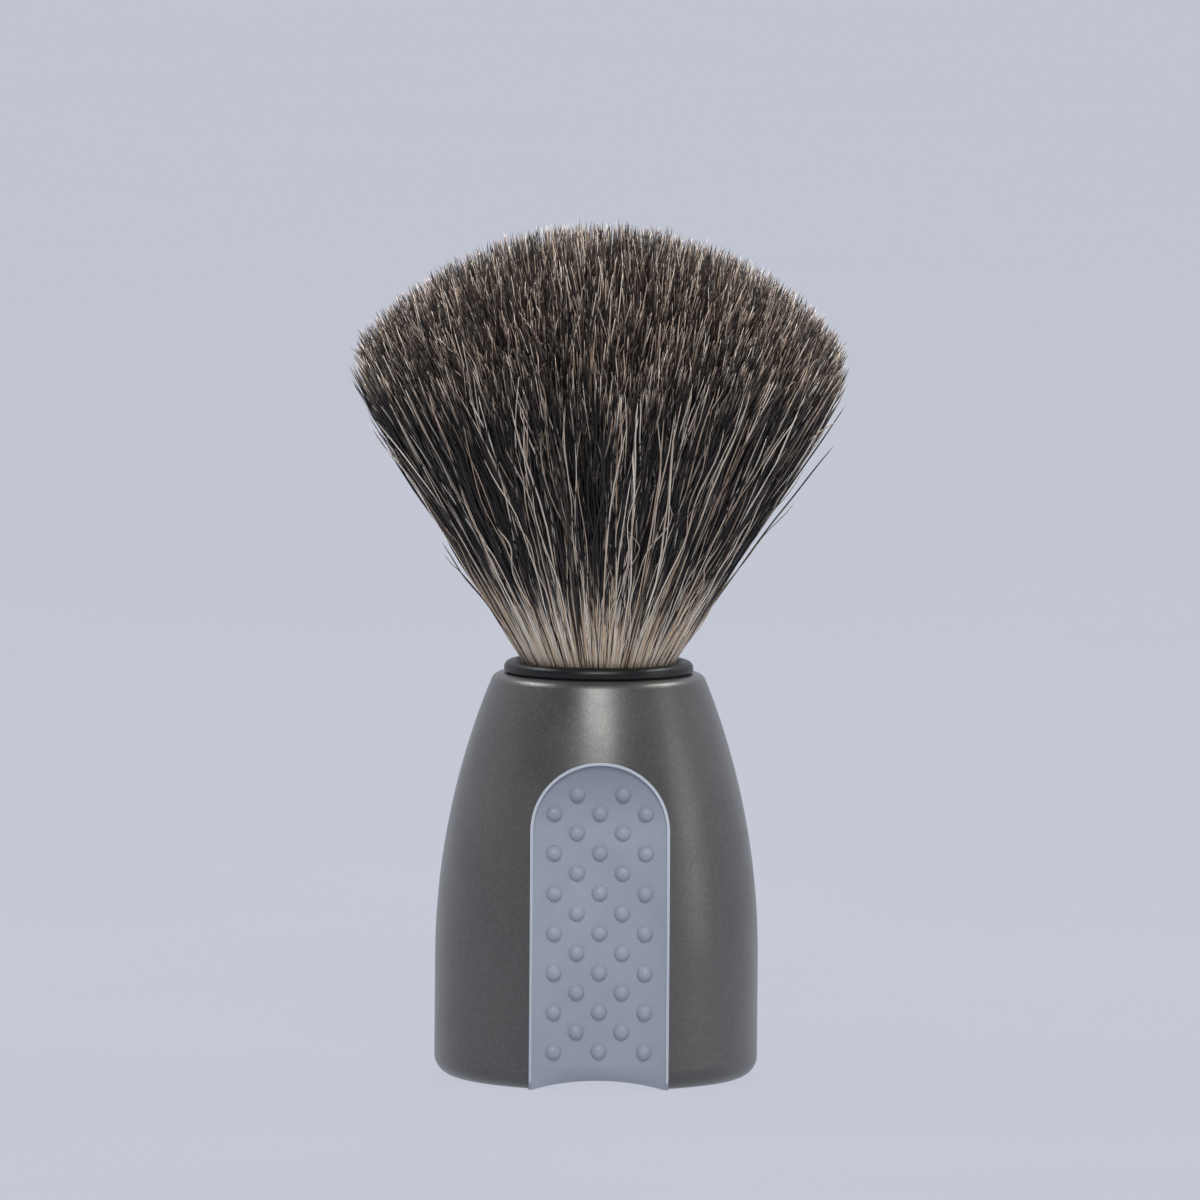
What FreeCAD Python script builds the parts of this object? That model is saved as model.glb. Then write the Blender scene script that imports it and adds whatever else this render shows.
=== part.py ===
"""Shaving brush: a bell-shaped handle with two soft grips, and a hair head that screws out of it.

Units are millimetres. The origin is the middle of the base on the plane the brush stands on, +Z is up,
and the front grip faces -Y.
"""
import FreeCAD, Part
import math
import os

from FreeCAD import Placement, Rotation, Vector

# Handle: a straight skirt, then one large arc that draws in to the shoulder.
HANDLE_RADIUS = 20.5
SKIRT_TOP = 15.0
BELL_ARC_RADIUS = 94.0
HANDLE_TOP = 51.2
BASE_ROUND = 2.6
SHOULDER_ROUND = 1.3

# Grip: a slot-shaped dished inlay, seen from the front a straight-sided arch with a round top.
GRIP_HALF_WIDTH = 8.8
GRIP_ROUND_CENTRE = 32.6
DISH_DEPTH_BASE = 4.4
DISH_DEPTH_TAPER = 0.03
TUCK_DEPTH = 2.2
TUCK_HEIGHT = 3.2
ARCH_RISE = 0.9
SKIN_THICKNESS = 1.2
RECESS_DEPTH = 2.5
CARRIER_INSET = 0.9
CARRIER_BOTTOM = 4.5
LIP_WIDTH = 0.35
LIP_PROUD = 0.12
GRIP_FOOT_ROUND = 1.4
SEAT_GAP = 0.05

# Nubs on the grip: rows of two and three by turns.
NUB_ROWS = 14
NUB_ROW_PITCH = 2.5
NUB_LOWEST = 4.8
NUB_COLUMN_PITCH = 5.84
NUB_RADIUS = 1.1
NUB_SUNK = 0.36

# Pegs that hold each carrier to the shell.
PEG_HEIGHTS = (10.0, 19.5, 29.0)
PEG_RADIUS = 1.0
PEG_HOLE_RADIUS = 1.1
PEG_INNER_END = 10.1

# Inside of the handle.
CAVITY_RADIUS = 15.4
CAVITY_HALF_DEPTH = 10.6
CAVITY_CEILING = 33.0
CAP_POCKET_RADIUS = 16.4
CAP_POCKET_HALF_DEPTH = 11.7
CAP_SEAT = 3.9
CAP_BOTTOM = 1.2
CAP_THICKNESS = 2.2
CAP_CLEARANCE = 0.15
GASKET_LAND = 0.2

# Ballast and the screws that hold the cap.
BALLAST_RADIUS = 8.8
BALLAST_HEIGHT = 24.0
BALLAST_CHAMFER = 0.8
LOCATOR_WALL = 0.9
LOCATOR_HEIGHT = 3.0
SCREW_OFFSET = 13.2
BOSS_RADIUS = 2.7
BOSS_TOP = 14.0
SCREW_RADIUS = 1.25
SCREW_HEAD_RADIUS = 2.4
SCREW_LENGTH = 10.0

# Screw thread between the head and the handle.
THREAD_PITCH = 2.0
THREAD_CREST = 9.95
THREAD_ROOT = 9.05
THREAD_CREST_FLAT = 0.56
THREAD_FLANK_SLOPE = 0.4
THREAD_BURY = 0.3
THREAD_CLEARANCE = 0.15
THREAD_BOTTOM = 41.6
THREAD_TOP = 48.6
SOCKET_BOTTOM = 38.6
SOCKET_FLOOR = 1.4
SOCKET_RADIUS = 11.3
SOCKET_TOP = 49.2
DECK_HOLE_RADIUS = 10.2

# Collar, washer and the cup for the hair.
COLLAR_RADIUS = 12.0
COLLAR_BOTTOM = 51.5
COLLAR_TOP = 52.8
COLLAR_ROUND = 0.9
WASHER_INNER = 10.15
WASHER_OUTER = 11.4
WASHER_BOTTOM = 50.7
STEM_BOTTOM = 40.4
CUP_RADIUS = 8.4
CUP_FLOOR = 41.6
MOUTH_RADIUS = 10.4

# Hair.
RESIN_TOP = 45.4
BINDING_TURNS = 5
BINDING_THREAD = 0.35
BINDING_PITCH = 0.6
HAIR_ROOT_RADIUS = 8.1
HAIR_WAIST_RADIUS = 7.5
HAIR_MOUTH_RADIUS = 10.15
HAIR_FAN_ANGLE = 32.6
HAIR_FAN_RADIUS = 31.2
HAIR_EDGE_ROUND = 3.0
DOME_CENTRE = 69.1
DOME_RADIUS = 38.9

UP = Vector(0, 0, 1)
FAR = 60.0


def bell_radius(z):
    """Radius of the handle at a height, without the roundings at its two ends."""
    if z <= SKIRT_TOP:
        return HANDLE_RADIUS
    drop = BELL_ARC_RADIUS - math.sqrt(BELL_ARC_RADIUS**2 - (z - SKIRT_TOP) ** 2)
    return HANDLE_RADIUS - drop


def revolved(points_and_arcs):
    """Solid of revolution about Z from a closed list of edges in the XZ plane."""
    face = Part.Face(Part.Wire(points_and_arcs))
    return face.revolve(Vector(0, 0, 0), UP, 360)


def line(start, end):
    """Straight edge between two (radius, height) points."""
    return Part.makeLine(Vector(start[0], 0, start[1]), Vector(end[0], 0, end[1]))


def arc(start, middle, end):
    """Circular edge through three (radius, height) points."""
    ends = [Vector(p[0], 0, p[1]) for p in (start, middle, end)]
    return Part.Arc(*ends).toShape()


def polygon(points):
    """Closed run of straight edges through (radius, height) points."""
    return [line(a, b) for a, b in zip(points, points[1:] + points[:1])]


def tube(inner, outer, bottom, top):
    """Ring with a rectangular section."""
    return revolved(polygon([(inner, bottom), (outer, bottom), (outer, top), (inner, top)]))


def cylinder(radius, bottom, top, x=0.0):
    """Upright cylinder between two heights."""
    return Part.makeCylinder(radius, top - bottom, Vector(x, 0, bottom))


def bell(growth=0.0, base_round=BASE_ROUND):
    """The handle's outer form as one solid, with its wall moved out by growth."""
    radius = HANDLE_RADIUS + growth
    top = bell_radius(HANDLE_TOP) + growth
    middle = (SKIRT_TOP + HANDLE_TOP) / 2
    edges = [
        line((0, 0), (radius, 0)),
        line((radius, 0), (radius, SKIRT_TOP)),
        arc((radius, SKIRT_TOP), (bell_radius(middle) + growth, middle), (top, HANDLE_TOP)),
        line((top, HANDLE_TOP), (0, HANDLE_TOP)),
        line((0, HANDLE_TOP), (0, 0)),
    ]
    solid = revolved(edges)
    solid = solid.makeFillet(base_round, [circle_edge(solid, radius, 0)])
    return solid.makeFillet(SHOULDER_ROUND, [circle_edge(solid, top, HANDLE_TOP)])


def circle_edge(solid, radius, height):
    """The circular edge of a revolved solid at a radius and height."""
    for edge in solid.Edges:
        curve = edge.Curve
        if isinstance(curve, Part.Circle) and abs(curve.Radius - radius) < 1e-6:
            if abs(curve.Center.z - height) < 1e-6:
                return edge
    raise ValueError("no circular edge there")


def slot_face(half_width):
    """Outline of the grip seen from the front, in the XZ plane, run on below the base."""
    below = -GRIP_HALF_WIDTH
    left = (-half_width, GRIP_ROUND_CENTRE)
    right = (half_width, GRIP_ROUND_CENTRE)
    edges = [
        line((-half_width, below), (half_width, below)),
        line((half_width, below), right),
        arc(right, (0, GRIP_ROUND_CENTRE + half_width), left),
        line(left, (-half_width, below)),
    ]
    return Part.Face(Part.Wire(edges))


def slot_prism(half_width):
    """The grip's outline carried from the axis to beyond the front of the handle."""
    return slot_face(half_width).extrude(Vector(0, -HANDLE_RADIUS - 4, 0))


def dish_share(x, z):
    """1 on the grip's middle line and 0 along its outline."""
    over = max(0.0, z - GRIP_ROUND_CENTRE)
    return 1 - (x * x + over * over) / GRIP_HALF_WIDTH**2


def grip_front(x, z, tucked):
    """How far in front of the axis the grip's face lies. Tucked, its foot curls under."""
    wall = math.sqrt(bell_radius(z) ** 2 - x * x)
    share = dish_share(x, z)
    depth = (DISH_DEPTH_BASE - DISH_DEPTH_TAPER * z) * share
    if tucked:
        depth += TUCK_DEPTH * share * max(0.0, 1 - z / TUCK_HEIGHT) ** 2
    return wall - depth


def behind_grip_face(offset, tucked=False):
    """Everything from the grip's face, moved in by offset, back to beyond the axis."""
    columns = 17
    reach = GRIP_HALF_WIDTH + 0.8
    heights = [-1.5 + 0.5 * step for step in range(12)]
    heights += [heights[-1] + 1.6 * step for step in range(1, 26)]
    rows = []
    for z in heights:
        xs = [reach * (2 * i / (columns - 1) - 1) for i in range(columns)]
        rows.append([Vector(x, offset - grip_front(x, z, tucked), z) for x in xs])
    surface = Part.BSplineSurface()
    surface.interpolate(rows)
    return surface.toShape().extrude(Vector(0, FAR, 0))


def base_arch():
    """The low arch along Y that lifts the middle of each grip's foot off the table."""
    radius = (GRIP_HALF_WIDTH**2 + ARCH_RISE**2) / (2 * ARCH_RISE)
    start = Vector(0, -FAR / 2, ARCH_RISE - radius)
    return Part.makeCylinder(radius, FAR, start, Vector(0, 1, 0))


def turned_to_rear(shape):
    """A copy of a front piece turned to the back of the handle."""
    copy = shape.copy()
    copy.Placement = Placement(Vector(0, 0, 0), Rotation(UP, 180)).multiply(copy.Placement)
    return copy


def peg_axis_cylinders(radius, start, end):
    """One cylinder along Y for each peg, between two distances in front of the axis."""
    pegs = [
        Part.makeCylinder(radius, start - end, Vector(0, -start, z), Vector(0, 1, 0))
        for z in PEG_HEIGHTS
    ]
    return pegs


def nub_centres():
    """The (x, z) place of each nub, row by row from the lowest."""
    places = []
    for row in range(NUB_ROWS):
        z = NUB_LOWEST + NUB_ROW_PITCH * row
        count = 3 if row % 2 == 0 else 2
        for column in range(count):
            places.append((NUB_COLUMN_PITCH * (column - (count - 1) / 2), z))
    return places


def grip_pad():
    """Soft skin: a dished face with nubs, a proud lip round it, and a hollow back for the carrier."""
    outline = slot_prism(GRIP_HALF_WIDTH)
    band = outline.cut(slot_prism(GRIP_HALF_WIDTH - LIP_WIDTH))
    skin = outline.common(behind_grip_face(0, tucked=True)).fuse(band)
    skin = skin.common(bell(LIP_PROUD, GRIP_FOOT_ROUND))
    for x, z in nub_centres():
        y = NUB_SUNK - grip_front(x, z, tucked=True)
        skin = skin.fuse(Part.makeSphere(NUB_RADIUS, Vector(x, y, z)))
    skin = skin.cut(behind_grip_face(RECESS_DEPTH - SEAT_GAP)).cut(carrier_blank(SEAT_GAP))
    return skin.cut(base_arch()).removeSplitter()


def carrier_blank(growth):
    """The carrier's plate, grown on every side."""
    plate = slot_prism(GRIP_HALF_WIDTH - CARRIER_INSET + growth)
    plate = plate.common(behind_grip_face(SKIN_THICKNESS + SEAT_GAP - growth))
    plate = plate.cut(behind_grip_face(RECESS_DEPTH - SEAT_GAP))
    floor = Part.makeBox(FAR, FAR, FAR, Vector(-FAR / 2, -FAR, CARRIER_BOTTOM - growth))
    return plate.common(floor)


def grip_carrier():
    """Rigid plate moulded into the back of the soft grip, with its pegs."""
    plate = carrier_blank(0)
    for z, peg in zip(PEG_HEIGHTS, peg_axis_cylinders(PEG_RADIUS, HANDLE_RADIUS, PEG_INNER_END)):
        plate = plate.fuse(peg.common(behind_grip_face(SKIN_THICKNESS + 2 * SEAT_GAP)))
    return plate.removeSplitter()


def between_grips(radius, half_depth, bottom, top):
    """A round hollow with flat front and back, as the handle's inside is."""
    flats = Part.makeBox(2 * radius, 2 * half_depth, top - bottom, Vector(-radius, -half_depth, bottom))
    return cylinder(radius, bottom, top).common(flats)


def handle_shell():
    """Bell with a recess for each grip, a bore for the socket, a cavity and two screw bosses."""
    shell = bell()
    shell = shell.cut(between_grips(CAVITY_RADIUS, CAVITY_HALF_DEPTH, 0, CAVITY_CEILING))
    shell = shell.cut(between_grips(CAP_POCKET_RADIUS, CAP_POCKET_HALF_DEPTH, 0, CAP_SEAT))
    shell = shell.cut(cylinder(SOCKET_RADIUS, SOCKET_BOTTOM, SOCKET_TOP))
    shell = shell.cut(cylinder(SOCKET_RADIUS - 1, CAVITY_CEILING - 1, SOCKET_BOTTOM + 1))
    shell = shell.cut(cylinder(DECK_HOLE_RADIUS, SOCKET_TOP - 1, HANDLE_TOP + 1))
    shell = shell.cut(cylinder(WASHER_OUTER + 0.1, WASHER_BOTTOM, HANDLE_TOP + 1))
    recess = slot_prism(GRIP_HALF_WIDTH + SEAT_GAP / 2).cut(behind_grip_face(RECESS_DEPTH))
    for peg_hole in peg_axis_cylinders(PEG_HOLE_RADIUS, HANDLE_RADIUS, CAVITY_HALF_DEPTH - 1):
        recess = recess.fuse(peg_hole)
    shell = shell.cut(recess).cut(turned_to_rear(recess)).cut(base_arch())
    for side in (-1, 1):
        boss = cylinder(BOSS_RADIUS, CAP_SEAT, BOSS_TOP, side * SCREW_OFFSET)
        shell = shell.fuse(boss.common(cylinder(CAVITY_RADIUS + 1, 0, BOSS_TOP)))
        shell = shell.cut(cylinder(SCREW_RADIUS, 0, BOSS_TOP - 1, side * SCREW_OFFSET))
    return shell.removeSplitter()


def base_cap():
    """Plate that closes the underside, with a ring that locates the ballast."""
    top = CAP_BOTTOM + CAP_THICKNESS
    radius = CAP_POCKET_RADIUS - CAP_CLEARANCE
    plate = between_grips(radius, CAP_POCKET_HALF_DEPTH - CAP_CLEARANCE, CAP_BOTTOM, top)
    ring_inner = BALLAST_RADIUS + SEAT_GAP
    plate = plate.fuse(tube(ring_inner, ring_inner + LOCATOR_WALL, top, top + LOCATOR_HEIGHT))
    for side in (-1, 1):
        plate = plate.cut(screw(side, SEAT_GAP))
    return plate.removeSplitter()


def base_gasket():
    """Flat ring between the cap and the ledge inside the shell."""
    bottom = CAP_BOTTOM + CAP_THICKNESS
    radius = CAP_POCKET_RADIUS - CAP_CLEARANCE
    outside = between_grips(radius, CAP_POCKET_HALF_DEPTH - CAP_CLEARANCE, bottom, CAP_SEAT)
    inner = CAVITY_RADIUS + GASKET_LAND
    inside = between_grips(inner, CAVITY_HALF_DEPTH + GASKET_LAND, bottom, CAP_SEAT)
    return outside.cut(inside)


def screw(side, growth=0.0):
    """Countersunk self-tapping screw, with a cross recess in its head."""
    radius = SCREW_RADIUS + growth
    head = SCREW_HEAD_RADIUS + growth
    low = CAP_BOTTOM
    shoulder = low + SCREW_HEAD_RADIUS - SCREW_RADIUS
    tip = low + SCREW_LENGTH
    profile = [(0, low), (head, low), (radius, shoulder), (radius, tip - 1), (0, tip)]
    body = revolved(polygon(profile))
    body.translate(Vector(side * SCREW_OFFSET, 0, 0))
    return body


def base_screws():
    """The two cap screws, each with a cross recess."""
    slot_length = 2.6
    slot_width = 0.5
    slot_depth = 0.9
    made = []
    for side in (-1, 1):
        body = screw(side)
        centre = Vector(side * SCREW_OFFSET, 0, CAP_BOTTOM)
        for length, width in ((slot_length, slot_width), (slot_width, slot_length)):
            corner = centre - Vector(length / 2, width / 2, 0)
            body = body.cut(Part.makeBox(length, width, slot_depth, corner))
        made.append(body.removeSplitter())
    return Part.makeCompound(made)


def ballast_slug():
    """Turned steel weight with chamfered ends."""
    bottom = CAP_BOTTOM + CAP_THICKNESS
    top = bottom + BALLAST_HEIGHT
    low_edge = bottom + BALLAST_CHAMFER
    high_edge = top - BALLAST_CHAMFER
    inset = BALLAST_RADIUS - BALLAST_CHAMFER
    profile = [(0, bottom), (inset, bottom), (BALLAST_RADIUS, low_edge), (BALLAST_RADIUS, high_edge)]
    return revolved(polygon(profile + [(inset, top), (0, top)]))


def thread_ridge(crest, root, bottom, top, growth):
    """A helical ridge of trapezoid section, grown on each flank. Its foot is buried in the wall it stands on."""
    foot = root - THREAD_BURY
    helix = Part.makeHelix(THREAD_PITCH, top - bottom, root)
    half_crest = THREAD_CREST_FLAT / 2 + growth
    half_foot = half_crest + (crest - foot) * THREAD_FLANK_SLOPE
    corners = [(foot, -half_foot), (crest, -half_crest), (crest, half_crest), (foot, half_foot)]
    ridge = Part.Wire(helix).makePipeShell([Part.Wire(polygon(corners))], True, True)
    ridge.translate(Vector(0, 0, bottom))
    return ridge


def threaded_socket():
    """Blind cup in the handle's neck with an internal thread that runs out at its mouth."""
    bore = THREAD_ROOT + THREAD_CLEARANCE
    crest = THREAD_CREST + THREAD_CLEARANCE
    groove_bottom = THREAD_BOTTOM - THREAD_PITCH / 2
    groove = thread_ridge(crest, bore, groove_bottom, SOCKET_TOP + THREAD_PITCH, THREAD_CLEARANCE)
    groove.rotate(Vector(0, 0, 0), UP, 180)
    hole = cylinder(bore, SOCKET_BOTTOM + SOCKET_FLOOR, SOCKET_TOP + 1)
    cup = cylinder(SOCKET_RADIUS - SEAT_GAP / 2, SOCKET_BOTTOM, SOCKET_TOP)
    return cup.cut(hole.fuse(groove))


def ferrule():
    """Collar, stem and hair cup in one moulding, with an external thread."""
    edge = COLLAR_RADIUS - COLLAR_ROUND
    shoulder = COLLAR_TOP - COLLAR_ROUND
    corner = COLLAR_ROUND * (1 - math.sqrt(0.5))
    flare = COLLAR_TOP - (MOUTH_RADIUS - CUP_RADIUS) / math.tan(math.radians(HAIR_FAN_ANGLE))
    lip = 0.25
    edges = [
        line((0, STEM_BOTTOM), (THREAD_ROOT, STEM_BOTTOM)),
        line((THREAD_ROOT, STEM_BOTTOM), (THREAD_ROOT, COLLAR_BOTTOM)),
        line((THREAD_ROOT, COLLAR_BOTTOM), (COLLAR_RADIUS, COLLAR_BOTTOM)),
        line((COLLAR_RADIUS, COLLAR_BOTTOM), (COLLAR_RADIUS, shoulder)),
        arc((COLLAR_RADIUS, shoulder), (COLLAR_RADIUS - corner, COLLAR_TOP - corner), (edge, COLLAR_TOP)),
        line((edge, COLLAR_TOP), (MOUTH_RADIUS + lip, COLLAR_TOP)),
        line((MOUTH_RADIUS + lip, COLLAR_TOP), (MOUTH_RADIUS, COLLAR_TOP - lip)),
        line((MOUTH_RADIUS, COLLAR_TOP - lip), (CUP_RADIUS, flare - lip)),
        line((CUP_RADIUS, flare - lip), (CUP_RADIUS, CUP_FLOOR)),
        line((CUP_RADIUS, CUP_FLOOR), (0, CUP_FLOOR)),
        line((0, CUP_FLOOR), (0, STEM_BOTTOM)),
    ]
    body = revolved(edges)
    ridge = thread_ridge(THREAD_CREST, THREAD_ROOT, THREAD_BOTTOM, THREAD_TOP, 0)
    return body.fuse(ridge)


def collar_washer():
    """Flat rubber washer under the collar."""
    return tube(WASHER_INNER, WASHER_OUTER, WASHER_BOTTOM, COLLAR_BOTTOM)


def root_resin():
    """Resin plug cast round the root ends of the hair."""
    return cylinder(CUP_RADIUS - SEAT_GAP / 2, CUP_FLOOR, RESIN_TOP)


def root_binding():
    """Thread wound round the hair just above the resin, as a stack of turns."""
    ring = CUP_RADIUS - SEAT_GAP - BINDING_THREAD
    turns = [
        Part.makeTorus(ring, BINDING_THREAD, Vector(0, 0, RESIN_TOP + BINDING_PITCH * (turn + 0.75)))
        for turn in range(BINDING_TURNS)
    ]
    return turns[0].multiFuse(turns[1:])


def hair_knot():
    """The hair's outer form: root, waist, a straight-sided fan and a domed top."""
    fan_slope = math.tan(math.radians(HAIR_FAN_ANGLE))
    fan_edge = COLLAR_TOP + (HAIR_FAN_RADIUS - HAIR_MOUTH_RADIUS) / fan_slope
    flare = COLLAR_TOP - (HAIR_MOUTH_RADIUS - HAIR_ROOT_RADIUS) / fan_slope
    waist_top = RESIN_TOP + BINDING_PITCH * (BINDING_TURNS + 0.5)
    dome_edge = DOME_CENTRE + math.sqrt(DOME_RADIUS**2 - HAIR_FAN_RADIUS**2)
    start = RESIN_TOP + SEAT_GAP
    edges = [
        line((0, start), (HAIR_WAIST_RADIUS, start)),
        line((HAIR_WAIST_RADIUS, start), (HAIR_WAIST_RADIUS, waist_top)),
        line((HAIR_WAIST_RADIUS, waist_top), (HAIR_ROOT_RADIUS, waist_top)),
        line((HAIR_ROOT_RADIUS, waist_top), (HAIR_ROOT_RADIUS, flare)),
        line((HAIR_ROOT_RADIUS, flare), (HAIR_FAN_RADIUS, fan_edge)),
        line((HAIR_FAN_RADIUS, fan_edge), (HAIR_FAN_RADIUS, dome_edge)),
        arc(
            (HAIR_FAN_RADIUS, dome_edge),
            (DOME_RADIUS * 0.5, DOME_CENTRE + DOME_RADIUS * math.sqrt(0.75)),
            (0, DOME_CENTRE + DOME_RADIUS),
        ),
        line((0, DOME_CENTRE + DOME_RADIUS), (0, start)),
    ]
    solid = revolved(edges)
    rims = [circle_edge(solid, HAIR_FAN_RADIUS, fan_edge), circle_edge(solid, HAIR_FAN_RADIUS, dome_edge)]
    return solid.makeFillet(HAIR_EDGE_ROUND, rims)


def save(name, shape):
    """Check one piece and write it."""
    if not shape.isValid():
        raise ValueError(name + " is not a valid shape")
    shape.exportStep("parts/" + name + ".step")
    print(name, len(shape.Solids), "solid(s)", round(shape.Volume, 1), "mm3")


def main():
    os.makedirs("parts", exist_ok=True)
    pad = grip_pad()
    carrier = grip_carrier()
    pieces = {
        "handle_shell": handle_shell(),
        "front_grip_pad": pad,
        "rear_grip_pad": turned_to_rear(pad),
        "front_grip_carrier": carrier,
        "rear_grip_carrier": turned_to_rear(carrier),
        "threaded_socket": threaded_socket(),
        "ballast_slug": ballast_slug(),
        "base_cap": base_cap(),
        "base_gasket": base_gasket(),
        "base_screws": base_screws(),
        "collar_washer": collar_washer(),
        "ferrule": ferrule(),
        "root_resin": root_resin(),
        "root_binding": root_binding(),
        "hair_knot": hair_knot(),
    }
    for name, shape in pieces.items():
        save(name, shape)


main()
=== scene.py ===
"""Shaving brush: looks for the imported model, in metres, in the model's own frame."""
import math

import bpy
import numpy as np
from mathutils import Matrix, Vector


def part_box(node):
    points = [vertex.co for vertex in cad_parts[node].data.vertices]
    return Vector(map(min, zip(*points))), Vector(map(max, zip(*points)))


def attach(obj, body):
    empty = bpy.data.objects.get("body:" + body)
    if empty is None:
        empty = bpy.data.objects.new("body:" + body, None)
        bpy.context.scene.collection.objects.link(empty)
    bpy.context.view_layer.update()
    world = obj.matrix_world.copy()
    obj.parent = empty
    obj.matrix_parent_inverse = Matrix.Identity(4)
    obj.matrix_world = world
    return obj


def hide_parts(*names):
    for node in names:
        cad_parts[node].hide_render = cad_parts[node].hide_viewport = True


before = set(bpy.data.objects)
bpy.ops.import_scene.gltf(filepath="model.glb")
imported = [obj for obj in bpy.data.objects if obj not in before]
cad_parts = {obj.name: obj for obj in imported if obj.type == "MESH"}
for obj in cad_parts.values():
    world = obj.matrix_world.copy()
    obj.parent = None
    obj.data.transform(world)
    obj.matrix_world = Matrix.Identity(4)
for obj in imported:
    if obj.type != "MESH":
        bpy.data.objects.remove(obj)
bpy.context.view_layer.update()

MM = 0.001

# The handle's bell, which is a straight skirt and then an arc in to its top.
HANDLE_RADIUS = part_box("handle_shell")[1][0]
SKIRT_TOP = 15.0 * MM
BELL_ARC = 94.0 * MM
GRIP_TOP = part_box("front_grip_pad")[1][2]
LIP_PROUD = 0.10 * MM

# The paper bowl that the brush stands in.
FLOOR_RADIUS = 3.0
WALL_BEND = 0.6
WALL_RISE = 3.0
BOWL_SIDES = 72
BOWL_STEPS = 12

# The fan of hair, from the frame: its mouth in the collar, its apex below, its domed top.
COLLAR_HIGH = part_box("ferrule")[1]
HAIR_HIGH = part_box("hair_knot")[1]
MOUTH_HEIGHT = COLLAR_HIGH[2]
MOUTH_RADIUS = 0.845 * COLLAR_HIGH[0]
FAN_ANGLE = math.radians(32.6)
APEX_HEIGHT = MOUTH_HEIGHT - MOUTH_RADIUS / math.tan(FAN_ANGLE)
DOME_RADIUS = 38.9 * MM
DOME_CENTRE = HAIR_HIGH[2] - DOME_RADIUS
ROOT_DEPTH = 3.0 * MM

# The dome falls away from this share of the fan's half width out to its rim, by this much at the rim.
# For stray hairs beyond the rim it goes on falling, up to RIM_LAST times the way from start to rim.
RIM_START = 0.80
RIM_DROP = 6.5 * MM
RIM_LAST = 1.2

# How the hairs of a tuft spread from its middle, in shares of the fan's half width.
ROOT_SCATTER = 0.05
ROOT_LIMIT = 0.985
TIP_LIMIT = 0.94
LOOSE_SHARE = 0.12
LOOSE_SPREAD = 3.0

# How the hairs end. Some stop well short of the dome, and each keeps its thickness nearly to its tip.
TOP_LIFT = 0.5 * MM
MUCH_SHORTER = 0.33
BLUNT_FROM = 0.965
TIP_TAPER = 0.15
THINNEST = 0.15
ROOT_THICKNESS = 0.62

# Bends of a hair: waves in its free length, and their usual size. They are smaller in and out of the fan.
BENDS = ((0.6, 0.60 * MM), (1.5, 0.30 * MM), (2.9, 0.12 * MM))
BEND_GROWTH = 0.6
IN_AND_OUT = 0.40

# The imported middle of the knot, drawn in from the fan's side and top.
CORE_SHARE = 0.86
CORE_DEPTH = 7.5 * MM
CORE_SIDES = 96
CORE_TOP_RINGS = 40
CORE_SIDE_RINGS = 12

# Hairs share a set of colourings. Each has its own column of the hair's UV map, and V runs root to tip.
# The first columns are pale all the way up, the next are dusky all the way up, and the rest are banded.
COLOURINGS = 64
PALE_COLOURINGS = 14
DUSKY_COLOURINGS = 14
HAIR_UV = "OFBake"
SIDES = 3
HAIR_SEED = 20240611

# Kinds of hair. The sheath is the outside of the fan, the crown is the ends that its top shows, strays stand
# loose round the side, and wisps rise just above the top. "band" is where the tufts stand, in shares of the
# fan's half width, and "starts" is the share of each path that is left out because it is hidden inside.
# "drift" and "stray" spread the tips. "shorter", "ragged" and "gap" set how far short of the dome they end.
# "thick" is the range of radii, and "pale" and "dusky" are the shares of those colourings.
SHEATH = {
    "tufts": 750, "in_each": 4, "rings": 12, "band": (0.86, 0.96), "starts": 0.0,
    "drift": 0.042, "stray": 0.02, "wavy": 1.3, "thick": (0.065 * MM, 0.145 * MM),
    "shorter": 3.0 * MM, "ragged": 0.4 * MM, "gap": 12 * MM, "pale": 0.19, "dusky": 0.17,
}
CROWN = {
    "tufts": 3500, "in_each": 2, "rings": 5, "band": (0.0, 0.92), "starts": 0.62,
    "drift": 0.032, "stray": 0.0, "wavy": 1.1, "thick": (0.065 * MM, 0.145 * MM),
    "shorter": 0.4 * MM, "ragged": 0.26 * MM, "gap": 6 * MM, "pale": 0.11, "dusky": 0.31,
}
STRAYS = {
    "tufts": 650, "in_each": 1, "rings": 20, "band": (0.94, 0.96), "starts": 0.0,
    "drift": 0.090, "stray": 0.14, "wavy": 1.8, "thick": (0.06 * MM, 0.12 * MM),
    "shorter": 4.0 * MM, "ragged": 0.6 * MM, "gap": 12 * MM, "pale": 0.42, "dusky": 0.20,
}
WISPS = {
    "tufts": 50, "in_each": 1, "rings": 6, "band": (0.0, 0.92), "starts": 0.7,
    "drift": 0.06, "stray": 0.0, "wavy": 1.5, "thick": (0.03 * MM, 0.05 * MM),
    "shorter": -0.8 * MM, "ragged": 0.3 * MM, "gap": 0.0, "pale": 0.1, "dusky": 0.4,
}
HAIR_PIECES = {
    "hair_sheath_1": SHEATH,
    "hair_sheath_2": SHEATH,
    "hair_crown_1": CROWN,
    "hair_crown_2": CROWN,
    "hair_strays": STRAYS,
    "hair_wisps": WISPS,
}


def lerp(a, b, share):
    return a + (b - a) * share


def dome_distance(share):
    """Distance from the apex to the fan's top, for a hair at this share of the fan's half width."""
    angle = np.arctan(share * math.tan(FAN_ANGLE))
    rise = DOME_CENTRE - APEX_HEIGHT
    distance = rise * np.cos(angle) + np.sqrt(DOME_RADIUS**2 - (rise * np.sin(angle)) ** 2)
    over_rim = np.clip((share - RIM_START) / (1 - RIM_START), 0, RIM_LAST)
    return distance - RIM_DROP * over_rim**2


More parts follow.
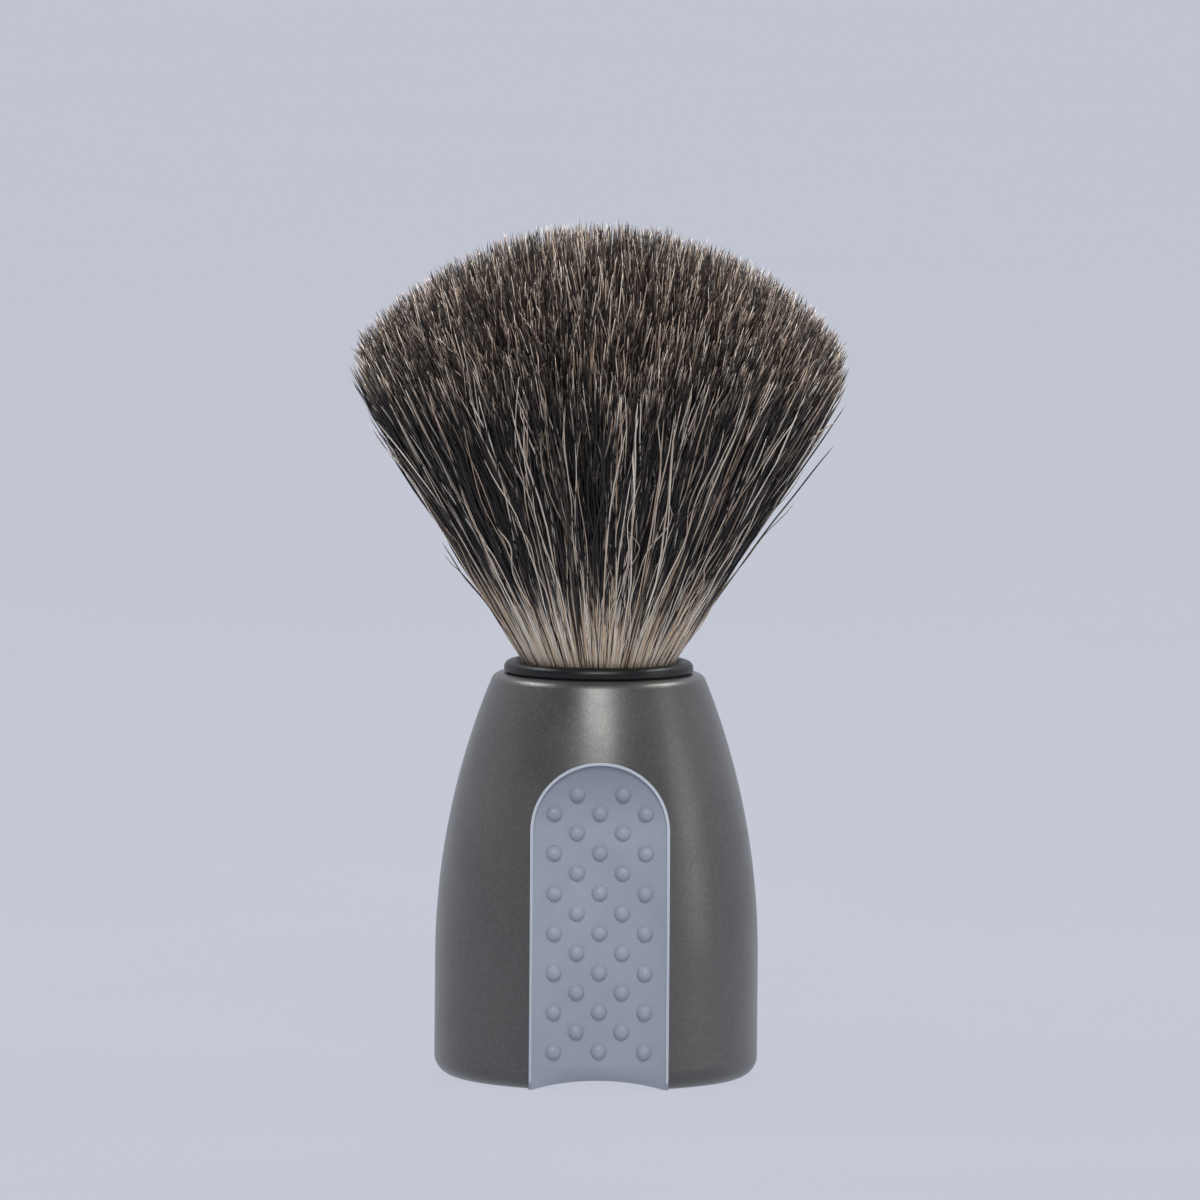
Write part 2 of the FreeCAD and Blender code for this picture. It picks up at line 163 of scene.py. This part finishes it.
def hair_paths(rng, kind):
    """Rings of points along each hair of one kind, with how far along it each ring lies."""
    count = kind["tufts"] * kind["in_each"]
    inner, outer = kind["band"]
    radius = np.sqrt(rng.uniform(inner**2, outer**2, kind["tufts"])).repeat(kind["in_each"])
    turn = rng.uniform(0, 2 * math.pi, kind["tufts"]).repeat(kind["in_each"])
    centre = np.stack([radius * np.cos(turn), radius * np.sin(turn)], axis=-1)
    loose = np.where(rng.random((count, 1)) < LOOSE_SHARE, LOOSE_SPREAD, 1.0)
    root = centre + rng.normal(0, ROOT_SCATTER, (count, 2))
    root = held_inside(root, outer * lerp(ROOT_LIMIT, 1.0, rng.random(count)))
    tip = centre + loose * rng.normal(0, kind["drift"], (count, 2))
    tip = held_inside(tip, outer * lerp(TIP_LIMIT, 1 + kind["stray"], rng.random(count) ** 2))
    shorter = kind["shorter"] * rng.exponential(1, count) + kind["ragged"] * rng.normal(0, 1, count)
    shorter += (rng.random(count) < MUCH_SHORTER) * kind["gap"] * rng.random(count)
    steps = np.append(np.linspace(0, BLUNT_FROM, kind["rings"] - 1), 1)[None, :]
    disc = lerp(root[:, None, :], tip[:, None, :], steps[..., None])

    share = np.linalg.norm(disc, axis=-1)
    direction = np.concatenate([disc * math.tan(FAN_ANGLE), np.ones(share.shape + (1,))], axis=-1)
    direction /= np.linalg.norm(direction, axis=-1, keepdims=True)
    mouth = (MOUTH_HEIGHT - APEX_HEIGHT) / direction[..., 2]
    foot = mouth - ROOT_DEPTH / direction[..., 2]
    top = dome_distance(share) + TOP_LIFT - shorter[:, None]
    distance = lerp(lerp(foot, top, kind["starts"]), top, steps)
    path = direction * distance[..., None]
    path[..., 2] += APEX_HEIGHT
    free = np.clip((distance - mouth) / (top - mouth), 0, 1)
    along = np.clip((distance - foot) / (top - foot), 0, 1)
    path += waves(rng, turn, free) * kind["wavy"]
    return path, along


def held_inside(disc, limit):
    """disc, drawn in to the limit where it lies past it."""
    size = np.linalg.norm(disc, axis=-1)
    return disc * np.minimum(1, limit / np.maximum(size, 1e-9))[:, None]


def waves(rng, turn, free):
    """Small sideways bends that grow from nothing at the collar, for hairs that stand at these turns."""
    bend = np.zeros(free.shape + (2,))
    for frequency, size in BENDS:
        phase = rng.uniform(0, 2 * math.pi, (len(turn), 1, 2))
        amount = rng.normal(0, size, (len(turn), 1, 2)) * (IN_AND_OUT, 1)
        wave = np.sin(2 * math.pi * frequency * free[..., None] + phase) - np.sin(phase)
        bend += amount * wave * free[..., None] ** BEND_GROWTH
    outward, round_it = bend[..., 0], bend[..., 1]
    cos, sin = np.cos(turn)[:, None], np.sin(turn)[:, None]
    x = outward * cos - round_it * sin
    y = outward * sin + round_it * cos
    return np.stack([x, y, np.zeros(free.shape)], axis=-1)


def hair_columns(rng, count, kind):
    """The colouring of each hair, with this kind's share of pale and of dusky ones."""
    pale = rng.integers(0, PALE_COLOURINGS, count)
    dusky = PALE_COLOURINGS + rng.integers(0, DUSKY_COLOURINGS, count)
    banded = rng.integers(PALE_COLOURINGS + DUSKY_COLOURINGS, COLOURINGS, count)
    draw = rng.random(count)
    column = np.where(draw < kind["pale"], pale, np.where(draw > 1 - kind["dusky"], dusky, banded))
    return column[:, None] / COLOURINGS


def hair_mesh(name, rng, path, along, thickness, column):
    """Closed three-sided tubes along the paths, ending in a point, as one mesh object."""
    count, rings, _ = path.shape
    tangent = np.gradient(path, axis=1)
    tangent /= np.linalg.norm(tangent, axis=-1, keepdims=True)
    aside = np.cross(tangent, rng.normal(0, 1, (count, 1, 3)))
    aside /= np.linalg.norm(aside, axis=-1, keepdims=True)
    across = np.cross(tangent, aside)
    swell = lerp(ROOT_THICKNESS, 1.0, np.clip(2 * along, 0, 1))
    taper = np.clip((1 - along) / TIP_TAPER, 0, 1) ** 0.4
    radius = thickness[:, None] * np.maximum(taper * swell, THINNEST)
    corners = []
    for side in range(SIDES):
        angle = 2 * math.pi * side / SIDES
        spoke = aside * math.cos(angle) + across * math.sin(angle)
        corners.append(path + spoke * radius[..., None])
    body = np.stack(corners, axis=2)[:, :-1]
    tips = path[:, -1:, :]
    vertices = np.concatenate([body.reshape(count, -1, 3), tips], axis=1)
    faces, uvs = hair_faces(count, rings, along, column)
    return mesh_object(name, vertices.reshape(-1, 3), faces, uvs)


def hair_faces(count, rings, along, column):
    """Quads along each tube, three triangles at its tip and one that closes its root, with their UVs."""
    per_hair = (rings - 1) * SIDES + 1
    first = (np.arange(count) * per_hair)[:, None]
    width = 1 / COLOURINGS / SIDES
    quads, quad_uvs, tris, tri_uvs = [], [], [], []
    for side in range(SIDES):
        after = (side + 1) % SIDES
        left = column + width * side
        right = left + width
        for ring in range(rings - 2):
            low, high = ring * SIDES, (ring + 1) * SIDES
            ring_corners = [low + side, low + after, high + after, high + side]
            quads.append(np.concatenate([first + corner for corner in ring_corners], axis=1))
            here, there = along[:, ring:ring + 1], along[:, ring + 1:ring + 2]
            corners = [(left, here), (right, here), (right, there), (left, there)]
            quad_uvs.append(np.stack([np.concatenate(c, axis=1) for c in corners], axis=1))
        low = (rings - 2) * SIDES
        tip_corners = [low + side, low + after, per_hair - 1]
        tris.append(np.concatenate([first + corner for corner in tip_corners], axis=1))
        here, there = along[:, rings - 2:rings - 1], along[:, rings - 1:rings]
        corners = [(left, here), (right, here), ((left + right) / 2, there)]
        tri_uvs.append(np.stack([np.concatenate(c, axis=1) for c in corners], axis=1))
    tris.append(np.concatenate([first + 2, first + 1, first], axis=1))
    foot = along[:, :1]
    corners = [(column, foot), (column + width, foot), (column + width / 2, foot)]
    tri_uvs.append(np.stack([np.concatenate(c, axis=1) for c in corners], axis=1))
    faces = (np.concatenate(quads), np.concatenate(tris))
    return faces, (np.concatenate(quad_uvs), np.concatenate(tri_uvs))


def mesh_object(name, vertices, faces, uvs):
    """A smooth-shaded mesh object from arrays of quads and triangles."""
    quads, tris = faces
    corners = np.concatenate([quads.ravel(), tris.ravel()]).astype(np.int32)
    quad_starts = 4 * np.arange(len(quads))
    tri_starts = 4 * len(quads) + 3 * np.arange(len(tris))
    starts = np.concatenate([quad_starts, tri_starts])
    mesh = bpy.data.meshes.new(name)
    mesh.vertices.add(len(vertices))
    mesh.vertices.foreach_set("co", vertices.astype(np.float32).ravel())
    mesh.loops.add(len(corners))
    mesh.loops.foreach_set("vertex_index", corners)
    mesh.polygons.add(len(starts))
    mesh.polygons.foreach_set("loop_start", starts.astype(np.int32))
    mesh.update(calc_edges=True)
    layer = mesh.uv_layers.new(name=HAIR_UV)
    flat = np.concatenate([uvs[0].reshape(-1, 2), uvs[1].reshape(-1, 2)])
    layer.uv.foreach_set("vector", flat.astype(np.float32).ravel())
    mesh.shade_smooth()
    piece = bpy.data.objects.new(name, mesh)
    bpy.context.scene.collection.objects.link(piece)
    return piece


def hair_core():
    """The packed, unseen middle of the knot: the fan's own form drawn in, so that no gap shows through."""
    profile = []
    for step in range(CORE_TOP_RINGS + 1):
        share = step / CORE_TOP_RINGS
        distance = dome_distance(np.array(share * CORE_SHARE)) - CORE_DEPTH
        angle = math.atan(share * CORE_SHARE * math.tan(FAN_ANGLE))
        profile.append((distance * math.sin(angle), APEX_HEIGHT + distance * math.cos(angle)))
    outer_radius, outer_height = profile[-1]
    foot = MOUTH_HEIGHT - ROOT_DEPTH
    for step in range(1, CORE_SIDE_RINGS + 1):
        height = lerp(outer_height, foot, step / CORE_SIDE_RINGS)
        profile.append((outer_radius * (height - APEX_HEIGHT) / (outer_height - APEX_HEIGHT), height))
    top = (0, 0, profile[0][1])
    bottom = (0, 0, foot)
    vertices = [top]
    for radius, height in profile[1:]:
        vertices += ring_points(radius, height, CORE_SIDES)
    vertices.append(bottom)
    faces = []
    for k in range(CORE_SIDES):
        after = (k + 1) % CORE_SIDES
        faces.append((0, 1 + k, 1 + after))
        for ring in range(len(profile) - 2):
            low = 1 + ring * CORE_SIDES
            high = low + CORE_SIDES
            faces.append((low + k, high + k, high + after, low + after))
        last = 1 + (len(profile) - 2) * CORE_SIDES
        faces.append((last + k, len(vertices) - 1, last + after))
    return plain_object("hair_core", vertices, faces)


def ring_points(radius, height, sides):
    """Points evenly round a level circle about the axis."""
    points = []
    for k in range(sides):
        turn = 2 * math.pi * k / sides
        points.append((radius * math.cos(turn), radius * math.sin(turn), height))
    return points


def plain_object(name, vertices, faces):
    """A smooth-shaded mesh object from lists of points and faces."""
    mesh = bpy.data.meshes.new(name)
    mesh.from_pydata(vertices, [], faces)
    mesh.shade_smooth()
    piece = bpy.data.objects.new(name, mesh)
    bpy.context.scene.collection.objects.link(piece)
    return piece


class Nodes:
    """A material's node tree, with short calls that make and join nodes."""

    def __init__(self, name):
        self.material = bpy.data.materials.new(name)
        self.material.use_nodes = True
        self.tree = self.material.node_tree
        self.shader = self.tree.nodes["Principled BSDF"]

    def add(self, kind, settings=None, **inputs):
        """A new node. An input's name has _ for each space."""
        node = self.tree.nodes.new(kind)
        for key, value in (settings or {}).items():
            setattr(node, key, value)
        for key, value in inputs.items():
            self.put(node.inputs[key.replace("_", " ")], value)
        return node

    def put(self, socket, value):
        """Links another node's output to a socket, or sets the socket to a plain value."""
        if isinstance(value, bpy.types.NodeSocket):
            self.tree.links.new(value, socket)
        else:
            socket.default_value = value

    def maths(self, operation, a, b=0.0, clamp=False):
        """One sum on two numbers, each a plain one or another node's output."""
        node = self.add("ShaderNodeMath", {"operation": operation, "use_clamp": clamp})
        self.put(node.inputs[0], a)
        self.put(node.inputs[1], b)
        return node.outputs[0]

    def noise(self, scale, detail=4.0, stretch=None):
        """A noise pattern in the object's own space. stretch scales that space along X, Y and Z first."""
        where = self.add("ShaderNodeTexCoord").outputs["Object"]
        if stretch is not None:
            where = self.add("ShaderNodeMapping", Vector=where, Scale=stretch).outputs[0]
        return self.add("ShaderNodeTexNoise", Vector=where, Scale=scale, Detail=detail).outputs["Fac"]

    def spread(self, value, low, high, start=0.35, end=0.65):
        """value from start to end, carried to low to high."""
        node = self.add("ShaderNodeMapRange", Value=value)
        for key, number in (("From Min", start), ("From Max", end), ("To Min", low), ("To Max", high)):
            node.inputs[key].default_value = number
        return node.outputs[0]

    def mix(self, share, a, b):
        """A colour between a and b. The colour sockets come after the number and vector ones."""
        node = self.add("ShaderNodeMix", {"data_type": "RGBA"})
        self.put(node.inputs["Factor"], share)
        self.put(node.inputs[6], a)
        self.put(node.inputs[7], b)
        return node.outputs[2]

    def blotch(self, pattern, a, b):
        """A colour between a and b that follows the middle of a noise pattern's range."""
        return self.mix(self.spread(pattern, 0, 1), a, b)

    def bump(self, height, strength, distance):
        """Relief on the shader's surface."""
        node = self.add("ShaderNodeBump", Height=height, Strength=strength, Distance=distance)
        self.put(self.shader.inputs["Normal"], node.outputs[0])

    def set(self, **inputs):
        """Sets or links the shader's own inputs."""
        for key, value in inputs.items():
            self.put(self.shader.inputs[key.replace("_", " ")], value)


def rgb(red, green, blue):
    """A linear colour with alpha from 0 to 255 screen values."""
    linear = []
    for part in (red, green, blue):
        share = part / 255
        linear.append(share / 12.92 if share <= 0.04045 else ((share + 0.055) / 1.055) ** 2.4)
    return (*linear, 1.0)


def handle_paint():
    """Satin metallic lacquer: fine flake in a faintly clouded grey, with a little orange peel."""
    n = Nodes("handle_paint")
    flake = n.noise(2600, 2.0)
    cloud = n.noise(55, 3.0)
    tint = n.blotch(cloud, rgb(84, 83, 81), rgb(92, 91, 88))
    n.set(Base_Color=n.mix(n.spread(flake, 0, 0.25, 0.45, 0.75), tint, rgb(126, 127, 125)))
    n.set(Metallic=0.6, Roughness=n.spread(n.noise(140, 4.0), 0.34, 0.42))
    n.set(Coat_Weight=0.3, Coat_Roughness=0.28)
    n.bump(n.maths("ADD", n.maths("MULTIPLY", flake, 0.3), n.noise(420, 2.0)), 0.10, 0.02 * MM)
    return n.material


def grip_rubber():
    """Soft blue-grey elastomer: moulded grain, a painted highlight along its lip, and painted shade at the
    top of its hollow.
    """
    n = Nodes("grip_soft")
    cloud = n.noise(90, 4.0)
    dust = n.noise(1500, 3.0)
    where = n.add("ShaderNodeSeparateXYZ", Vector=n.add("ShaderNodeTexCoord").outputs["Object"]).outputs
    tint = n.blotch(cloud, rgb(152, 158, 170), rgb(161, 167, 178))
    tint = n.mix(n.spread(dust, 0, 0.25, 0.5, 0.8), tint, rgb(172, 177, 187))
    # Painted shade: the colour darkens towards the top of the grip's hollow.
    tint = n.mix(n.spread(where[2], 0, 0.42, GRIP_TOP - 9 * MM, GRIP_TOP), tint, rgb(98, 104, 116))
    # Painted highlight: where the grip's edge stands proud of the bell, its colour is made paler.
    across_squared = n.maths("ADD", n.maths("POWER", where[0], 2), n.maths("POWER", where[1], 2))
    from_axis = n.maths("POWER", across_squared, 0.5)
    above = n.maths("MAXIMUM", n.maths("SUBTRACT", where[2], SKIRT_TOP), 0)
    sunk = n.maths("SUBTRACT", BELL_ARC**2, n.maths("POWER", above, 2))
    bell = n.maths("ADD", n.maths("POWER", sunk, 0.5), HANDLE_RADIUS - BELL_ARC)
    proud = n.maths("SUBTRACT", from_axis, bell)
    painted_lip_highlight = n.spread(proud, 0, 0.6, 0.5 * LIP_PROUD, LIP_PROUD)
    n.set(Base_Color=n.mix(painted_lip_highlight, tint, rgb(196, 201, 211)))
    n.set(Roughness=n.spread(n.noise(300, 3.0), 0.40, 0.54), Specular_IOR_Level=0.45)
    n.bump(dust, 0.18, 0.03 * MM)
    return n.material


def collar_black():
    """Satin black moulding with faint wipe marks."""
    n = Nodes("collar_black")
    marks = n.noise(900, 4.0, stretch=(0.15, 0.15, 2.0))
    n.set(Base_Color=n.blotch(marks, rgb(5, 5, 6), rgb(12, 12, 13)))
    n.set(Roughness=n.spread(marks, 0.34, 0.44), Specular_IOR_Level=0.42)
    n.bump(n.noise(500, 2.0), 0.05, 0.02 * MM)
    return n.material


def plain_moulding(name, dark, light, rough, grain):
    """Moulded part with a fine grain."""
    n = Nodes(name)
    spots = n.noise(grain, 4.0)
    n.set(Base_Color=n.blotch(spots, dark, light))
    n.set(Roughness=n.spread(n.noise(grain * 0.4, 3.0), rough - 0.07, rough + 0.07))
    n.bump(spots, 0.25, 0.03 * MM)
    return n.material


def turned_metal(name, dark, light, rough, stretch):
    """Machined metal with fine tool marks round its axis."""
    n = Nodes(name)
    marks = n.noise(1800, 3.0, stretch=stretch)
    n.set(Base_Color=n.blotch(marks, dark, light), Metallic=1.0)
    n.set(Roughness=n.spread(marks, rough - 0.08, rough + 0.1))
    n.bump(marks, 0.15, 0.02 * MM)
    return n.material


def binding_thread():
    """Waxed thread with its twist."""
    n = Nodes("binding_thread")
    twist = n.noise(3000, 2.0, stretch=(1, 1, 0.3))
    n.set(Base_Color=n.blotch(twist, rgb(170, 160, 140), rgb(225, 218, 200)))
    n.set(Roughness=n.spread(twist, 0.6, 0.8))
    n.bump(twist, 0.5, 0.05 * MM)
    return n.material


def hair_colour():
    """Hair that is cream at the root, then near black, then brown-grey. Some are pale and some dusky."""
    n = Nodes("hair")
    place = n.add("ShaderNodeUVMap", {"uv_map": HAIR_UV}).outputs[0]
    split = n.add("ShaderNodeSeparateXYZ", Vector=place)
    across, along = split.outputs[0], split.outputs[1]
    column = n.maths("FLOOR", n.maths("MULTIPLY", across, COLOURINGS))

    def chance(seed):
        """A number from 0 to 1 for each column, the same all the way up it."""
        where = n.maths("ADD", column, seed)
        return n.add("ShaderNodeTexWhiteNoise", {"noise_dimensions": "1D"}, W=where).outputs["Value"]

    def passed(edge, width):
        """0 below the edge and 1 above it, with a soft step of this width along the hair."""
        return n.maths("DIVIDE", n.maths("SUBTRACT", along, edge), width, clamp=True)

    root_end = n.maths("ADD", n.maths("MULTIPLY", chance(1.5), 0.24), 0.11)
    tip_start = n.maths("ADD", n.maths("MULTIPLY", chance(7.5), 0.09), 0.895)
    cream = n.mix(chance(3.5), rgb(222, 190, 154), rgb(255, 249, 236))
    dark = n.mix(chance(5.5), rgb(10, 9, 10), rgb(34, 29, 29))
    brown = n.mix(n.maths("POWER", chance(9.5), 2.8), rgb(20, 16, 16), rgb(214, 190, 170))
    banded = n.mix(passed(root_end, 0.14), cream, dark)
    banded = n.mix(passed(tip_start, 0.05), banded, brown)
    pale_end = n.mix(chance(13.5), rgb(176, 150, 128), rgb(255, 243, 228))
    pale = n.mix(passed(0.30, 0.3), cream, pale_end)
    dusky_end = n.mix(chance(15.5), rgb(14, 12, 12), rgb(68, 56, 49))
    dusky = n.mix(passed(0.05, 0.3), rgb(62, 46, 36), dusky_end)
    is_pale = n.maths("LESS_THAN", column, PALE_COLOURINGS - 0.5)
    is_banded = n.maths("GREATER_THAN", column, PALE_COLOURINGS + DUSKY_COLOURINGS - 0.5)
    n.set(Base_Color=n.mix(is_pale, n.mix(is_banded, dusky, banded), pale))
    n.set(Roughness=n.spread(chance(17.5), 0.32, 0.50, 0.0, 1.0), Specular_IOR_Level=0.55)
    return n.material


def hair_shadow():
    """The dark packed middle of the knot: cream at the foot, near black above, streaked like hair."""
    n = Nodes("hair_core")
    where = n.add("ShaderNodeTexCoord").outputs["Object"]
    height = n.add("ShaderNodeSeparateXYZ", Vector=where).outputs[2]
    rise = n.maths("DIVIDE", n.maths("SUBTRACT", height, MOUTH_HEIGHT + 4 * MM), 10 * MM, clamp=True)
    streak = n.noise(900, 3.0, stretch=(1, 1, 0.06))
    foot = n.blotch(streak, rgb(74, 60, 48), rgb(150, 128, 106))
    body = n.blotch(streak, rgb(10, 9, 10), rgb(40, 34, 32))
    n.set(Base_Color=n.mix(rise, foot, body), Roughness=n.spread(streak, 0.6, 0.85))
    n.bump(streak, 0.6, 0.2 * MM)
    return n.material


def studio_floor():
    """Pale seamless paper, mostly its own even tone so that no horizon shows."""
    n = Nodes("studio_floor")
    tone = rgb(194, 198, 210)
    n.set(Base_Color=n.blotch(n.noise(8, 3.0), rgb(26, 27, 29), rgb(30, 31, 33)))
    n.set(Roughness=1.0, Specular_IOR_Level=0.0)
    n.set(Emission_Color=tone, Emission_Strength=0.98)
    return n.material


def paint(node, material):
    """Gives every slot of a carried-over node one material."""
    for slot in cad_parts[node].material_slots:
        slot.link = "OBJECT"
        slot.material = material


def paint_nodes():
    """A material for every carried-over node."""
    grip = grip_rubber()
    carrier = plain_moulding("carrier_plastic", rgb(38, 38, 40), rgb(54, 54, 57), 0.55, 700)
    rubber = plain_moulding("seal_rubber", rgb(16, 16, 16), rgb(30, 30, 30), 0.78, 1100)
    round_axis = (1, 1, 8)
    along_axis = (6, 6, 1)
    brass = turned_metal("socket_brass", rgb(176, 142, 80), rgb(214, 180, 116), 0.3, round_axis)
    steel = turned_metal("ballast_steel", rgb(120, 121, 124), rgb(160, 161, 164), 0.4, round_axis)
    screw = turned_metal("screw_steel", rgb(150, 151, 154), rgb(188, 189, 192), 0.32, along_axis)
    painted = {
        "handle_shell": handle_paint(),
        "front_grip_pad": grip,
        "rear_grip_pad": grip,
        "front_grip_carrier": carrier,
        "rear_grip_carrier": carrier,
        "threaded_socket": brass,
        "ballast_slug": steel,
        "base_cap": plain_moulding("cap_plastic", rgb(30, 30, 32), rgb(44, 44, 46), 0.58, 900),
        "base_gasket": rubber,
        "base_screws": screw,
        "collar_washer": rubber,
        "ferrule": collar_black(),
        "root_resin": plain_moulding("resin", rgb(96, 74, 48), rgb(128, 102, 70), 0.25, 300),
        "root_binding": binding_thread(),
    }
    for node, material in painted.items():
        paint(node, material)


def grow_hair():
    """Every piece of hair, riding with the head."""
    rng = np.random.default_rng(HAIR_SEED)
    colour = hair_colour()
    made = []
    for name, kind in HAIR_PIECES.items():
        path, along = hair_paths(rng, kind)
        thickness = rng.uniform(*kind["thick"], len(path))
        column = hair_columns(rng, len(path), kind)
        piece = hair_mesh(name, rng, path, along, thickness, column)
        piece.data.materials.append(colour)
        made.append(piece)
    core = hair_core()
    core.data.materials.append(hair_shadow())
    made.append(core)
    for piece in made:
        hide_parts("hair_knot")
        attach(piece, "head")


def backdrop():
    """A round bowl of pale paper, high behind the brush and low in front of it, so that no horizon shows."""
    profile = [(FLOOR_RADIUS * step / BOWL_STEPS, 0.0) for step in range(BOWL_STEPS)]
    for step in range(BOWL_STEPS + 1):
        turn = math.pi / 2 * step / BOWL_STEPS
        profile.append((FLOOR_RADIUS + WALL_BEND * math.sin(turn), WALL_BEND * (1 - math.cos(turn))))
    rim = FLOOR_RADIUS + WALL_BEND
    vertices = []
    for k in range(BOWL_SIDES):
        turn = 2 * math.pi * k / BOWL_SIDES
        behind = ((1 + math.sin(turn)) / 2) ** 2
        for radius, height in profile + [(rim, WALL_BEND + behind * WALL_RISE)]:
            vertices.append((radius * math.cos(turn), radius * math.sin(turn), height))
    each = len(profile) + 1
    faces = []
    for k in range(BOWL_SIDES):
        here = k * each
        after = (k + 1) % BOWL_SIDES * each
        faces += [(here + j, here + j + 1, after + j + 1, after + j) for j in range(each - 1)]
    bowl = plain_object("sweep", vertices, faces)
    bowl.data.materials.append(studio_floor())


def lighting():
    """Pale surroundings, a softbox above the front, a weak one at the right, and three above the back."""
    scene = bpy.context.scene
    if scene.world is None:
        scene.world = bpy.data.worlds.new("studio")
    scene.world.use_nodes = True
    surroundings = scene.world.node_tree.nodes["Background"]
    surroundings.inputs["Color"].default_value = rgb(200, 204, 214)
    surroundings.inputs["Strength"].default_value = 0.25
    soft_light("top_front", (0.0, -0.66, 0.62), (0, 0, 0.06), (0.34, 0.34), 4.0)
    soft_light("right", (0.72, -0.20, 0.12), (0, 0, 0.06), (0.16, 0.6), 0.75)
    soft_light("right_rim", (0.44, 0.12, 0.68), (0, 0, 0.09), (0.3, 0.3), 4.5)
    soft_light("left_rim", (-0.44, 0.12, 0.68), (0, 0, 0.09), (0.3, 0.3), 4.5)
    soft_light("back", (0.0, 0.24, 0.80), (0, 0, 0.08), (0.6, 0.3), 8.0)


def soft_light(name, place, aim, size, power):
    """A rectangular softbox that faces a point."""
    data = bpy.data.lights.new(name, "AREA")
    data.shape = "RECTANGLE"
    data.size, data.size_y = size
    data.energy = power
    light = bpy.data.objects.new(name, data)
    light.location = place
    light.rotation_euler = (Vector(aim) - Vector(place)).to_track_quat("-Z", "Y").to_euler()
    bpy.context.scene.collection.objects.link(light)


def camera():
    """A long lens a little above the brush, rolled by a hair, with the brush filling the frame."""
    height = HAIR_HIGH[2]
    aim = Vector((0.10 * MM, 0.0, 0.5597 * height))
    seen_height = 1.408 * height
    distance = 2.0
    azimuth = math.radians(-1.2)
    elevation = math.radians(5.1)
    roll = math.radians(0.45)
    flat = distance * math.cos(elevation)
    rise = distance * math.sin(elevation)
    place = aim + Vector((flat * math.sin(azimuth), -flat * math.cos(azimuth), rise))
    data = bpy.data.cameras.new("camera")
    data.sensor_width = 36.0
    data.lens = data.sensor_width * distance / seen_height
    data.clip_end = 20.0
    view = bpy.data.objects.new("camera", data)
    turn = (aim - place).to_track_quat("-Z", "Y").to_matrix().to_4x4()
    view.matrix_world = Matrix.Translation(place) @ turn @ Matrix.Rotation(roll, 4, "Z")
    bpy.context.scene.collection.objects.link(view)
    bpy.context.scene.camera = view
    bpy.context.scene.view_settings.view_transform = "Standard"


paint_nodes()
grow_hair()
backdrop()
lighting()
camera()
